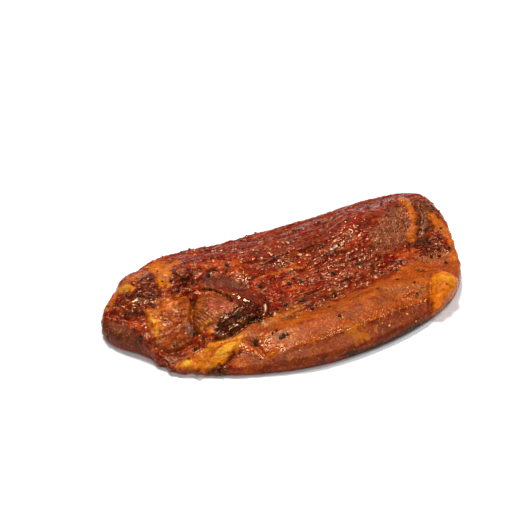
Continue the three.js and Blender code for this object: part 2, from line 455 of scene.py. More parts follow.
def raiseFolds(places, normals):
    plan = places[:, :2] + 0.9 * wanderAt(places, 7, 1, 2)
    upper = ease(normals[:, 2], -0.1, 0.35)[:, None]
    for crease in foldPlaces.values():
        away, side, along = awayFrom(plan, crease["route"])
        width = np.where(side > 0, crease["left"], crease["right"])
        crest = np.exp(-((away / width) ** 2)) * ease(np.minimum(along, 1 - along), -0.02, 0.08)
        places += normals * upper * (crease["lift"] * crest)[:, None]
        start, end = crease["route"][0], crease["route"][-1]
        across = Vector((start[1] - end[1], end[0] - start[0])).normalized()
        places[:, 0] += crease["lean"] * crest * across.x
        places[:, 1] += crease["lean"] * crest * across.y
    for name, (lift, edge) in pillowPlaces.items():
        dome = ease(-pastEdge(plan, areas[name]), 0, edge)
        places += normals * upper * (lift * dome)[:, None]


muscleTurn = 26  # where the fibres point

# the noise of each relief, as noiseAt takes it, and its height
relief = {
    "lumps": ((12, 3, 3), 0.6),
    "wrinkles": ((4.2, 4, 3, (muscleTurn, 2.2)), 0.42),
    "fibres": ((1.9, 6, 1, (muscleTurn + 8, 6)), 0.2),
    "grain": ((1.7, 5), 0.24),
    "membranes": ((6.5, 9, 2, (muscleTurn, 2.5)), 0.6),
    "beads": ((3.0, 10), 0.42),
    "crumbs": ((2.4, 7, 2), 0.6),
}


def roughen(places, normals, zones):
    waves = {name: noiseAt(places, *shape) for name, (shape, _) in relief.items()}
    waves["membranes"] = 0.3 - abs(waves["membranes"])
    waves["beads"] = abs(waves["beads"]) - 0.2
    waves["crumbs"] = 0.4 - abs(waves["crumbs"])
    # calm places are smooth, and the right of the steak is a little smoother than the left
    wild = (1 - 0.85 * zones["calm"]) * (1 - 0.3 * ease(places[:, 0], -25, 10))
    wild *= 1 - 0.8 * zones["glaze"]
    beaded = np.maximum(0.1 + 0.9 * wild, zones["shine"])
    shares = {
        "lumps": wild,
        "wrinkles": wild * (1 - 0.6 * zones["granular"]),
        "fibres": 0.25 + 0.75 * wild,
        "grain": 0.3 * wild + zones["granular"],
        "membranes": wild * (1 - zones["granular"]),
        "beads": beaded * (1 - 0.7 * zones["fatty"]) * (1 - 0.7 * zones["glaze"]),
        "crumbs": zones["fatty"],
    }
    height = sum(waves[name] * relief[name][1] * share for name, share in shares.items())
    height *= ease(places[:, 2], 0.2, 2.5)  # the flat underside stays flat
    places += normals * height[:, None]
    return waves["wrinkles"] + 0.8 * waves["membranes"]


# Ledges where standing marinade has levelled itself. A rise is how steeply one climbs to the
# right and towards the back, and the strewn ones lie anywhere within their field.
leftRise = (0.10, 0.31)
rollRise = (-0.22, 0.40)
ledgePlaces = [
    oval(-30.4, -32.0, 2.4, 1.5, -60),
    oval(-27.4, -35.0, 3.0, 1.7, -38),
    oval(-23.0, -37.4, 3.2, 1.6, -22),
    oval(-12.2, -37.5, 3.4, 1.2, 84),
    oval(-13.6, -42.0, 2.0, 1.0, 60),
]
strewnLedges = {
    "rollEnd": {"field": oval(75, -19, 9, 5, 35), "count": 18, "size": (0.9, 1.5), "rise": rollRise},
    "rollLip": {"field": oval(50, -41, 17, 2.5, 32), "count": 12, "size": (0.8, 1.3), "rise": rollRise},
    "nose": {"field": oval(-66, -47, 11, 13), "count": 18, "size": (0.8, 1.5), "rise": leftRise},
    "backMeat": {"field": oval(65, 32, 10, 17, -20), "count": 30, "size": (0.7, 1.1), "rise": leftRise},
    "shoulder": {"field": oval(-60, -12, 14, 8, 10), "count": 10, "size": (0.8, 1.4), "rise": leftRise},
}


def strewLedges():
    picker = random.Random(12)
    ledges = []
    for strewn in strewnLedges.values():
        field = strewn["field"]
        turn = radians(field["turn"])
        for _ in range(strewn["count"]):
            way, reach = picker.uniform(0, 2 * pi), picker.random() ** 0.5
            along = field["half"][0] * reach * cos(way)
            across = field["half"][1] * reach * sin(way)
            x = field["at"][0] + along * cos(turn) - across * sin(turn)
            y = field["at"][1] + along * sin(turn) + across * cos(turn)
            halfLong = picker.uniform(*strewn["size"])
            halfWide = halfLong * picker.uniform(0.5, 0.9)
            ledges.append((oval(x, y, halfLong, halfWide, picker.uniform(0, 180)), strewn["rise"]))
    return ledges


def levelLedges(places):
    upper = places[:, 2] > 4
    for ledge, rise in [(ledge, leftRise) for ledge in ledgePlaces] + strewLedges():
        apart = withinOval(places, ledge)
        middle = places[(apart < 0.6) & upper, 2]
        if len(middle):
            plane = middle.mean() + (places[:, :2] - ledge["at"]) @ np.array(rise)
            places[:, 2] += (plane - places[:, 2]) * (1 - ease(apart, 0.75, 1.35)) * upper


def scallopFringe(places, normals):
    # the low front edge of fat hangs out in small scallops
    front = ease(places[:, 0], -84, -76) * (1 - ease(places[:, 0], -44, -36))
    front *= 1 - ease(places[:, 1], -66, -60)
    low = (1 - ease(places[:, 2], 4, 8)) * ease(-normals[:, 1], 0.1, 0.5)
    scallops = 0.5 + noiseAt(places * (1, 1, 0), 4.5, 8)
    places[:, 1] -= 1.8 * front * low * scallops


# what marinade, blood and fat look like on screen, and the painted shade, sheen and glints that are laid in
# among them
palette = {
    "red": (147, 33, 9),
    "redBack": (136, 46, 22),
    "redDeep": (130, 22, 12),
    "roll": (178, 80, 18),
    "rollPink": (172, 70, 38),
    "rollGold": (188, 98, 18),
    "wall": (142, 55, 0),
    "wallDark": (104, 38, 0),
    "olive": (170, 93, 32),
    "backMeat": (156, 86, 58),
    "backBrown": (113, 54, 32),
    "darkRed": (96, 26, 14),
    "orangeRed": (200, 76, 16),
    "toe": (98, 45, 32),
    "nose": (174, 82, 42),
    "eye": (166, 86, 46),
    "eyePink": (190, 88, 64),
    "eyeEdge": (190, 104, 28),
    "slope": (72, 36, 26),
    "slopeRed": (100, 42, 33),
    # painted shade for slits, seams and the wall's foot
    "shadeLine": (44, 30, 24),
    # a pale membrane tint, also laid on as painted glint streaks
    "tendonAndGlint": (168, 124, 96),
    "strip": (104, 34, 20),
    "fatOrange": (222, 116, 12),
    "fatRim": (222, 112, 18),
    "fatDeep": (206, 100, 6),
    "fatYellow": (222, 132, 0),
    "fatBright": (240, 142, 0),
    "fatPale": (255, 184, 56),
    "rimPale": (255, 186, 66),
    "nub": (255, 136, 8),
    "nubTop": (234, 156, 20),
    "fringe": (122, 40, 2),
    "clot": (134, 58, 40),
    "violet": (92, 34, 30),
    "wetPink": (158, 70, 50),
}

# the washes of marinade under the patches: blob size, stretch along the muscle, how much
washes = {
    "orangeRed": (8.0, 3.0, 0.5),
    "darkRed": (9.0, 2.2, 0.6),
    "wetPink": (10.0, 2.0, 0.3),
}


def patch(tint, place, soft, ragged, amount, fat=0, wet=0.15):
    return {"tint": tint, "place": place, "soft": soft, "ragged": ragged, "amount": amount,
            "fat": fat, "wet": wet}


# Patches in the order they are laid on: the tint, the place, the blend at its edge, how far
# that edge wanders, how much of it covers what is under, how fatty it is and how glossy.
tintPlaces = [
    patch("redBack", oval(-10, 34, 90, 22, 27), 8, 6, 0.4),
    patch("roll", band([(-18, -63), (8, -57), (30, -45), (55, -30), (78, -13), (94, 4)], 17.5), 2.5, 2.5,
          0.9),
    patch("rollGold", band([(0, -46), (20, -36), (42, -24), (62, -11), (80, 2)], 4), 4, 6, 0.55),
    patch("rollGold", oval(84, -12, 10, 9), 3, 4, 0.6),
    patch("rollPink", oval(4, -58, 20, 8, 16), 4, 4, 0.6),
    patch("rollPink", oval(26, -45, 20, 8, 34), 4, 5, 0.55),
    patch("rollPink", oval(52, -30, 14, 5, 34), 4, 4, 0.4),
    patch("orangeRed", oval(72, -4, 14, 6, 30), 3, 4, 0.35),
    patch("olive", band([(-14, -46), (-7, -43), (0, -38), (7, -33)], 3.4), 1.5, 1.5, 0.8),
    patch("fatOrange", band([(-9, -44), (-3, -40.5), (2, -37)], 1.4), 1, 1, 0.7),
    # partly painted sheen: the pink of the wet middle stands partly for its pink sheen
    patch("wetPink", "wetPink", 1.5, 3, 0.7, wet=1),
    patch("backMeat", "backMeat", 2.5, 3, 0.95, wet=0.7),
    patch("backBrown", "backBrown", 1.5, 2, 0.95, wet=0.3),
    patch("darkRed", "darkRight", 1.5, 3, 0.85, wet=0.8),
    patch("orangeRed", oval(74, 16, 8, 2.6, 30), 1, 2, 0.8),
    patch("orangeRed", oval(88, 9, 9, 3), 1.5, 2, 0.5),
    patch("slope", band([(76, 12), (80, 13.5), (84, 14)], 0.7), 0.6, 1, 0.7),
    patch("slope", band([(78, 2.5), (82, 4), (85, 4)], 0.7), 0.6, 1, 0.8),
    patch("slope", band([(76, 7), (82, 9.5), (89, 8.5)], 0.6), 0.6, 1.2, 0.8),
    patch("slope", band([(53, -1.5), (58, -0.5)], 0.6), 0.6, 1, 0.7),
    patch("nose", "nose", 1.5, 2, 0.85, wet=0.5),
    patch("orangeRed", oval(-68, -38, 7, 5, 30), 2, 3, 0.6),
    patch("eye", "eye", 1.2, 1.5, 0.95, wet=0.7),
    patch("eyePink", oval(-37.5, -37, 7.5, 8, 10), 2.5, 2.5, 0.8, wet=0.8),
    patch("orangeRed", band([(-50, -21), (-45, -22.5), (-40, -25)], 1.8), 1, 1.5, 0.8, wet=0.6),
    patch("eyeEdge", band([(-50, -27), (-50.5, -34), (-49, -42)], 1.6), 1.2, 1.5, 0.7, wet=0.6),
    patch("strip", "strip", 1, 1.2, 0.95, wet=-0.6),
    patch("fatOrange", "orangeField", 1.5, 3, 0.85, fat=0.6),
    patch("fatBright", band([(-71, -20), (-70.5, -12), (-74, -6), (-82, -3)], 2), 2, 3, 0.65, fat=0.6),
    patch("orangeRed", "orangeBand", 1.5, 3, 0.7, fat=0.2),
    patch("violet", "darkTriangle", 1, 2, 0.85, wet=0.7),
    patch("clot", "clot", 1.5, 2.5, 0.6, wet=1),
    patch("violet", "darkRing", 0.8, 1.5, 0.85, wet=0.6),
    patch("orangeRed", oval(-62, -11.2, 2, 1.4), 0.6, 0.8, 0.8),
    patch("fatBright", "rimFat", 0.8, 1.5, 0.95, fat=0.7),
    patch("rimPale", oval(-94, -28, 4, 2, 25), 1, 1.5, 0.9, fat=0.6),
    patch("fatRim", band([(-103, -38), (-100, -31), (-93, -24), (-86, -12)], 1.8), 1, 1.5, 0.7, fat=0.7),
    patch("toe", "toe", 1.5, 1.5, 0.95, wet=-0.8),
    patch("orangeRed", oval(-87, -48.5, 3.6, 3, -30), 1, 1.6, 0.85, fat=0.3, wet=0.8),
    patch("fringe", "fringe", 1.2, 2, 0.92, wet=0.1),
    patch("fatOrange", oval(-43, -68, 14, 8, 30), 2, 2.4, 0.7, fat=0.5),
    patch("fatYellow", "fatMain", 1.6, 2.2, 0.92, fat=0.7),
    patch("fatDeep", oval(-44, -70, 3, 6, -30), 1.5, 1.5, 0.8, fat=0.6),
    patch("fatYellow", oval(-46, -70.5, 1.8, 1.6), 0.6, 0.6, 0.9, fat=0.5),
    patch("fatYellow", oval(-43.5, -74.5, 1.8, 1.6), 0.6, 0.6, 0.9, fat=0.5),
    patch("fatBright", oval(-33, -60, 9, 3.6, 14), 1.5, 1.5, 0.85, fat=0.8),
    patch("fatPale", "kernel", 0.5, 0.5, 0.8, fat=0.4),
    patch("fatDeep", band(kernelCreaseRoute, 0.6), 0.5, 0.3, 0.9, fat=0.4),
    patch("fatDeep", band(kernelSplitRoute, 0.35), 0.4, 0.3, 0.6, fat=0.4),
    patch("fatOrange", "fatFoot", 1.2, 2.2, 0.8, fat=0.7),
    patch("fatPale", "paleKernel", 0.6, 0.8, 0.8, fat=0.9),
    # painted light: the small lobes get the brighter fat tint against the shade where they face down
    patch("fatBright", "smallLobes", 0.5, 0.8, 0.9, fat=0.8),
    patch("fatBright", "smallKernel", 0.5, 0.4, 0.8, fat=0.6),
    # painted shade: dark red laid into the crease at the foot of the fat
    patch("darkRed", band(footCreaseRoute, 1.5), 0.7, 0.8, 0.9, wet=1),
    patch("darkRed", "valley", 1, 1.5, 0.85, wet=1),
    patch("slope", "darkSlope", 1.0, 1.4, 0.95, wet=1),
    patch("slopeRed", oval(-21, -41, 6, 3, 20), 1.5, 1, 0.8, wet=1),
    patch("slopeRed", band([(-37, -54), (-31, -50), (-25, -46)], 1.2), 1, 1.4, 0.6, wet=1),
    # painted shade in the slit under the flap
    patch("shadeLine", band(underFlapRoute, 0.5), 0.5, 0.6, 0.9, wet=1),
    # painted sheen: a pink tint on the flap's glossy crest
    patch("wetPink", oval(-28.5, -37.5, 4, 2, -20), 1, 1.2, 0.6, wet=1),
    # painted glints: pale streaks along the dark slope's ridges
    patch("tendonAndGlint", band([(-34.5, -49.5), (-31, -46.5), (-27, -43)], 0.3), 0.6, 1.2, 0.6, wet=1),
    patch("tendonAndGlint", band([(-33, -51.5), (-29, -48.5), (-26, -45.5)], 0.2), 0.5, 1, 0.5, wet=1),
    # painted shade in the groove at the foot of the dark slope
    patch("shadeLine", band(slopeFootRoute, 0.7), 0.6, 0.8, 0.8, wet=1),
    # painted shade in the seam beside the nose
    patch("shadeLine", band(crackRoute, 0.8), 0.6, 0.6, 0.9, wet=0.6),
    patch("tendonAndGlint", "greyPatch", 1, 1.2, 0.8, wet=0.8),
    patch("fatOrange", band(tendonRoute, 0.7), 0.8, 1.6, 0.7, fat=0.3),
    patch("fatYellow", band(eyeStreakRoute, 0.9), 0.5, 0.7, 0.9, fat=0.4),
    patch("fatOrange", oval(-43.5, -54.5, 2.0, 1.8), 0.6, 0.6, 0.8, fat=0.3),
    patch("fatOrange", band(fatSeamRoute, 1.4), 0.8, 2.2, 0.75, fat=0.8),
    patch("fatOrange", oval(17, 9, 4.5, 3, 20), 1, 1.6, 0.8, fat=0.9),
    patch("orangeRed", band([(-30, -2), (-16, 2), (-8, 4)], 1.6), 1.5, 2.5, 0.45),
    # partly painted shade: the deeper, darker reds across the upper middle also stand for the shade of a
    # neighbouring steak
    patch("darkRed", band([(-14, 0), (-4, 4), (6, 7), (12, 13), (18, 19)], 3.6), 1.5, 2.5, 0.65, wet=1),
    patch("redDeep", oval(25, 9, 17, 9, 30), 3, 3, 0.9, wet=0.9),
    patch("orangeRed", band([(-2, -14), (8, -9), (18, -5)], 1.4), 1.2, 2.5, 0.5),
    patch("fatRim", band(stripeRoute, 2.4), 1, 1.6, 0.9, fat=0.9),
    patch("fatYellow", oval(76.5, 56, 2.6, 6, 12), 1.2, 1.2, 0.6, fat=0.7),
    patch("fatRim", band([(92, 46), (98, 41), (102, 35), (104, 28), (104, 20)], 3.4), 1, 1.8, 0.95,
          fat=0.8),
    patch("nub", "nub", 1.2, 2, 1, fat=0.7),
    patch("nubTop", "nubTop", 1.5, 4, 0.8, fat=0.9),
    patch("fatOrange", band(nubSplitRoute, 1.1), 0.8, 1, 0.8, fat=0.7),
    patch("fatYellow", "mottledFat", 1.5, 4, 0.75, fat=0.9),
    patch("fatOrange", "flake", 0.6, 0.8, 0.95, fat=0.8),
    patch("fatOrange", oval(-67.5, -38, 6, 4.5, 20), 1.5, 2.5, 0.6, fat=0.3),
    patch("fatOrange", oval(-75.5, -47, 4, 9, 14), 2, 3, 0.6, fat=0.3),
    patch("fatYellow", band(noseStreakRoute, 1.2), 0.6, 1.6, 0.9, fat=0.6),
    patch("rimPale", oval(-77, -47.5, 1.6, 2.8, 30), 0.8, 1.6, 0.8, fat=0.5),
    patch("rimPale", oval(-73.5, -57, 1, 2.4, 10), 0.6, 1.6, 0.7, fat=0.5),
    patch("fatYellow", band(noseBranchRoute, 0.6), 0.8, 1.8, 0.7, fat=0.5),
    patch("fatOrange", band([(-77, -35.5), (-72, -34), (-67.5, -31.5), (-63, -25)], 1.2), 0.8, 1.4, 0.75,
          fat=0.5),
]

# x, y and width of the peppercorn pieces that stand out
pepperPlaces = [
    (-60, -3, 2), (-35, -4, 3), (-43, -8, 2.4), (-46, -12, 3.2), (-15, -9, 2.4), (-19, -12, 2.2),
    (-60, -17, 2.2), (-55, -16, 1.8), (-63, -22, 2.6), (-15, -20, 3.2), (-79, -30, 2.4), (-77, -38, 2.4),
    (-76, -40, 2), (-87, -41, 2.4), (-6, -36, 2.8), (-9, -40, 2.8), (-21, -47, 3), (-27, -46, 2),
    (-3, -22, 2.4), (-87, -53, 2), (-83, -60, 3), (-103, -51, 2), (-64, -62, 2), (-52, -62, 2.8),
    (-53, -54, 2.4), (-47, -57, 2.4), (-39, -53, 2.6), (-18, -61, 3.6), (-6, -55, 2.4), (-2, -59, 3.4),
    (-4, -60, 2.6), (0, -58, 2.4), (-37, -79, 2.8), (-42, -79, 2), (-18, 11, 3), (-7, 6, 2),
    (0, -31, 2.6), (10, -27, 3.6), (2, -15, 2.4), (5, -11, 2.6), (9, -13, 2.4), (15, -13, 2),
    (28, -5, 2.8), (36, -8, 2), (29, -20, 2.6), (30, -43, 2.6), (15, -32, 2.4), (23, 15, 2.6),
    (32, 14, 2.6), (30, 10, 2.2), (24, 7, 2.2), (21, -70, 1.8), (43, 3, 2.4), (52, 4, 2.2),
    (63, 40, 2.2), (84, 36, 2), (86, 35, 1.8), (97, 40, 2.4), (101, 26, 2.4), (81, 38, 2), (84, 28, 2.4),
    (81, 26, 2.2), (88, 28, 2.4), (75, 23, 2.2), (70, 10, 2.6), (67, 4, 2.4), (81, 3, 2.4),
    (98, 14, 2.2), (76, -12, 2), (66, -9, 2), (77, -20, 2), (46, 4, 1.8), (54, 0, 2), (89, 18, 2.4),
    (94, 19, 2.4),
]

# where the marinade stands in shiny beads on the calm roll, its lip and the folded flap
shinePlaces = [
    oval(75, -22, 9, 7, 50),
    oval(56, -36, 16, 4, 32),
    oval(-26, -33, 13, 3, -28),
    oval(-13.5, -39, 3, 7, 12),
    oval(2, -66, 26, 2.6, 6),
    oval(34, -49, 12, 3, 30),
    oval(-14, -61, 6, 4.5),
]

# where a smooth glaze of it catches the light in one piece
glazePlaces = [
    band([(-32, -29.5), (-29, -34.5), (-25, -37.8), (-20, -39.5), (-16.5, -41)], 1.6),
    band(valleyRoute, 1.2),
    band([(-35, -50), (-31, -46.5), (-27, -43)], 0.8),
    band(lipRoute, 0.7),
]

painting = {
    "gain": 0.77,  # of all the tints together, to suit the strength of the light
    "sheen": (0.012, 0.013, 0.007),  # the light that the gloss adds everywhere, taken off them
    "wrinkleShadeAndStains": 0.3,  # painted shade and light: how much darker they get in the wrinkles' hollows, where marinade also pools, and brighter on their crests
    "stain": 0.35,  # how much a peppercorn darkens what is round it
}


def layOn(tint, name, cover):
    tint += (linear(*palette[name]) - tint) * cover[:, None]


def paintSkin(mesh, places, normals, wrinkles, zones):
    wander = wanderAt(places, 5, 11, 3) + 0.35 * wanderAt(places, 1.8, 14)
    tint = np.tile(linear(*palette["red"]), (len(places), 1))
    for seed, (name, (size, stretch, amount)) in enumerate(washes.items(), start=20):
        pools = noiseAt(places, size, seed, 3, (muscleTurn, stretch))
        layOn(tint, name, amount * ease(pools, 0.06, 0.26))
    fat = np.zeros(len(places))
    wet = 0.75 - 0.7 * zones["calm"]
    upper = ease(normals[:, 2], -0.4, 0.1)
    for spot in tintPlaces:
        edge = beyond(places[:, :2] + wander * spot["ragged"], spot["place"])
        cover = spot["amount"] * (1 - ease(edge, -spot["soft"], spot["soft"])) * upper
        layOn(tint, spot["tint"], cover)
        fat += (spot["fat"] - fat) * cover
        wet += (spot["wet"] - wet) * cover
    clouds = noiseAt(places, 6, 33, 3)
    onRoll = zones["calm"] * (1 - fat) * ease(places[:, 0], -24, -10)
    layOn(tint, "rollPink", 0.35 * ease(clouds, 0.0, 0.5) * onRoll)
    layOn(tint, "rollGold", 0.3 * ease(-clouds, 0.0, 0.5) * onRoll)
    wall = zones["wall"]
    wet += (-0.5 - wet) * wall
    bands = noiseAt(places * (1, 1, 3), 9, 31, 3)
    # painted shade: the steep front face gets a darker tint than the top, partly its own smoother tone
    layOn(tint, "wall", 0.95 * wall * (1 - 0.9 * fat))
    # painted shade: the wall darkens in random bands, more the lower it lies, where the floor shades it, and
    # towards the right
    low = (5 - places[:, 2]) * 0.08 + 0.8 * ease(places[:, 0], 20, 65)
    layOn(tint, "wallDark", 0.7 * wall * (1 - fat) * ease(bands + low, 0.0, 0.5))
    # painted shade: a dark line along the wall's foot where it meets the floor, partly marinade standing
    # there
    footShadeAndSauce = ease(places[:, 0], 20, 36) * wall * ease(4.4 - places[:, 2] + 3 * bands, 0, 1.2)
    layOn(tint, "shadeLine", 0.9 * footShadeAndSauce)
    wet += (1 - wet) * 0.6 * zones["shine"]
    wet += (1 - wet) * zones["glaze"]
    # painted shade and light: darker in the wrinkles' hollows and brighter on their crests; real dark stains
    # round each peppercorn
    wrinkleShadeAndStains = 1 + painting["wrinkleShadeAndStains"] * np.clip(wrinkles, -0.8, 0.8) * (1 - wall)
    for x, y, width in pepperPlaces:
        near = np.hypot(places[:, 0] - x, places[:, 1] - y) / width
        wrinkleShadeAndStains *= 1 - painting["stain"] * (1 - ease(near, 0.4, 1.2))
    tint = painting["gain"] * tint * wrinkleShadeAndStains[:, None] - np.array(painting["sheen"])
    colours = np.column_stack([np.clip(tint, 0.002, 1), np.ones(len(tint))]).astype(np.float32)
    mesh.attributes.new("tint", "FLOAT_COLOR", "POINT").data.foreach_set("color", colours.ravel())
    return fat, np.clip(wet, -1, 1)


def frontWall(places, normals):
    # the smooth cut face below the lip of the front roll, with the steep faces there; its tint is partly
    # painted shade
    fromLip, side, _ = awayFrom(places[:, :2] + 0.5 * wanderAt(places, 5, 11, 2), lipRoute)
    wall = np.maximum(1 - ease(normals[:, 2], 0.5, 0.7), ease(-fromLip * side, 0.2, 1.4))
    wall *= ease(places[:, 0], -28, -18) * (1 - ease(places[:, 0], 83, 88))
    return wall * (1 - ease(places[:, 1], -10, 0))


def findZones(places, normals):
    # how much each place belongs to the zones that are shaped or finished their own way
    plan = places[:, :2]
    fromRoll = awayFrom(plan, rollMiddle)[0]

    def inside(name, start, end):
        return 1 - ease(pastEdge(plan, areas[name]), start, end)

    fatty, shine, glaze = np.zeros((3, len(places)))
    for name in ("fatMain", "fatFoot", "rimFat", "nub"):
        fatty = np.maximum(fatty, inside(name, -1, 1))
    for spot in shinePlaces:
        shine = np.maximum(shine, 1 - ease(withinOval(plan, spot), 0.6, 1.2))
    gaps = 0.7 * noiseAt(places, 3, 40)
    for spot in glazePlaces:
        glaze = np.maximum(glaze, 1 - ease(beyond(plan, spot) + gaps, 0, 1.3))
    toe, strip, eye = inside("toe", -1, 2), inside("strip", -2, 1), inside("eye", -2, 1)
    wall = frontWall(places, normals)
    return {
        "wall": wall,
        "glaze": glaze,
        "shine": shine * ease(normals[:, 2], 0.1, 0.5) * (1 - wall),
        "calm": np.maximum.reduce([1 - ease(fromRoll, 15, 21), toe, strip, eye * 0.7, fatty * 0.8, wall]),
        "granular": inside("backMeat", -3, 3),
        "fatty": fatty,
        "toe": toe,
        "strip": strip,
        "eye": eye,
        "roll": fromRoll < 18,
    }


# how much fewer speckles of spice each zone shows
speckleLess = {"eye": 0.8, "wall": 0.75, "fatty": 0.7, "strip": 0.6, "roll": 0.1, "toe": 0.7}


def markSkin(mesh, places, zones, fat, wet):
    # what the material reads at each place
    pools = ease(noiseAt(places, 9, 44, 2, (muscleTurn, 1.6)), -0.3, 0.35)
    swell = (0.25 + 0.75 * np.clip(wet, 0, 1)) * (1 - 0.8 * zones["glaze"])
    slope = 1 - ease(pastEdge(places[:, :2], areas["darkSlope"]), 0, 3)
    speckled = 1 + 0.5 * zones["granular"]
    speckled *= 1 - 0.8 * np.maximum(slope, zones["glaze"])
    for name, less in speckleLess.items():
        speckled *= 1 - less * zones[name]
    marks = {
        "fat": fat,
        "wet": wet,
        "eyeFibre": zones["eye"],
        "calm": zones["calm"],
        "swell": swell * (0.35 + 0.85 * pools),
        "speckled": speckled,
        "dry": np.clip(zones["granular"] + 0.35 * (zones["calm"] > 0.9), 0, 1),
    }
    for name, values in marks.items():
        mesh.attributes.new(name, "FLOAT", "POINT").data.foreach_set("value", values.astype(np.float32))


def makeMeat():
    skin = fineSkin(skinBuild)
    mesh = skin.data
    places, normals = readVectors(mesh.vertices, "co") / mm, readVectors(mesh.vertex_normals, "vector")
    print("the fine skin has", len(mesh.polygons), "faces")
    zones = findZones(places, normals)
    raiseFolds(places, normals)
    wrinkles = roughen(places, normals, zones)
    levelLedges(places)
    scallopFringe(places, normals)
    places[:, 2] = np.maximum(places[:, 2], 0)
    mesh.vertices.foreach_set("co", (places * mm).astype(np.float32).ravel())
    mesh.update()
    normals = readVectors(mesh.vertex_normals, "vector")
    fat, wet = paintSkin(mesh, places, normals, wrinkles, zones)
    markSkin(mesh, places, zones, fat, wet)
    for face in mesh.polygons:
        face.use_smooth = True
    return skin


class Finish:
    # a material and the few kinds of node that the finishes here are made of
    def __init__(self, name):
        self.material = bpy.data.materials.new(name)
        self.material.use_nodes = True
        self.tree = self.material.node_tree
        self.shader = self.tree.nodes["Principled BSDF"]
        self.where = self.add("TexCoord").outputs["Object"]

    def feed(self, node, values):
        for name, value in values.items():
            if isinstance(value, bpy.types.NodeSocket):
                self.tree.links.new(value, node.inputs[name])
            else:
                node.inputs[name].default_value = value

    def add(self, kind, values=None, **settings):
        made = self.tree.nodes.new("ShaderNode" + kind)
        for name, value in settings.items():
            setattr(made, name, value)
        self.feed(made, values or {})
        return made

    def blobs(self, size, detail=2.0, turn=None, stretch=1):
        # noise, drawn out along a direction in the plan if it has a turn
        where = self.where
        if turn is not None:
            way = {"Vector": where, "Rotation": (0, 0, radians(turn)), "Scale": (stretch, 1, 1)}
            where = self.add("Mapping", way, vector_type="TEXTURE").outputs["Vector"]
        made = self.add("TexNoise", {"Vector": where, "Scale": 1 / (size * mm), "Detail": detail})
        return made.outputs["Fac"]

    def grains(self, size):
        # distance from the middle of a grain, and two numbers that differ from grain to grain
        made = self.add("TexVoronoi", {"Vector": self.where, "Scale": 1 / (size * mm)})
        picked = self.add("SeparateColor", {0: made.outputs["Color"]})
        return made.outputs["Distance"], picked.outputs[0], picked.outputs[1]

    def ramp(self, value, low, high, start, end):
        ends = {"From Min": low, "From Max": high, "To Min": start, "To Max": end}
        return self.add("MapRange", {"Value": value, **ends}).outputs["Result"]

    def math(self, kind, first, second=0.0):
        return self.add("Math", {0: first, 1: second}, operation=kind).outputs[0]

    def times(self, first, *others):
        for other in others:
            first = self.math("MULTIPLY", first, other)
        return first

    def mix(self, kind, share, first, second):
        made = self.add("Mix", data_type="RGBA", blend_type=kind)
        self.feed(made, {0: share, 6: first, 7: second})
        return made.outputs[2]

    def marked(self, name, output="Fac"):
        return self.add("Attribute", attribute_name=name).outputs[output]

    def level(self, blobs, amount):
        # noise that swings about 0, so that its amount makes no step where it changes
        return self.times(self.math("SUBTRACT", blobs, 0.5), amount)

    def bump(self, height, distance, under=None):
        made = self.add("Bump", {"Strength": 1, "Distance": distance * mm, "Height": height})
        if under is not None:
            self.feed(made, {"Normal": under})
        return made.outputs["Normal"]


marinade = {
    # blob size and detail, and the direction and stretch of those that are drawn out
    "noises": {
        "stains": (3.6, 3),
        "embers": (2.4, 3),
        "fibres": (1.0, 2, muscleTurn + 8, 7),
        "goldLines": (1.3, 1, 70, 5),
        "speckles": (0.8, 1),
        "eyeLines": (1.1, 1, -50, 5),
        "cracks": (3.4, 2),
    },
    # each layer's noise, the values it is ramped between and its shares there, where it lies,
    # how it is laid on and its tint, which is in light and not as on screen
    "layers": [
        ("stains", (0.50, 0.66, 0, 0.7), "wild", "MULTIPLY", (0.50, 0.30, 0.26)),
        ("embers", (0.52, 0.68, 0, 0.7), "wild", "ADD", (0.18, 0.055, 0.004)),
        ("fibres", (0.46, 0.66, 0, 0.5), "fibrous", "MULTIPLY", (0.55, 0.42, 0.38)),
        ("goldLines", (0.62, 0.70, 0, 0.8), "calmLean", "ADD", (0.16, 0.06, 0.0)),
        ("speckles", (0.50, 0.66, 0, 0.65), "speckled", "MULTIPLY", (0.55, 0.46, 0.44)),
        ("speckles", (0.48, 0.34, 0, 0.8), "speckled", "ADD", (0.13, 0.038, 0.008)),
        ("eyeLines", (0.38, 0.54, 0.8, 0), "eyeFibre", "MULTIPLY", (0.46, 0.34, 0.28)),
        ("eyeLines", (0.56, 0.68, 0, 0.6), "eyeFibre", "ADD", (0.20, 0.09, 0.04)),
    ],
    "crackTint": (0.62, 0.32, 0.16),
    "grainSize": 1.25,
    "darkGrain": (0.030, 0.012, 0.006),
    "brightGrain": (0.62, 0.20, 0.02),
    "roughness": (0.62, 0.11),  # where it is driest and wettest
    "surface": {
        "IOR": 1.42,
        "Specular IOR Level": 0.4,
        "Specular Tint": (1.0, 0.68, 0.35, 1),
        "Subsurface Weight": 0.12,
        "Subsurface Radius": (1.0, 0.25, 0.1),
        "Subsurface Scale": 1.2 * mm,
    },
}


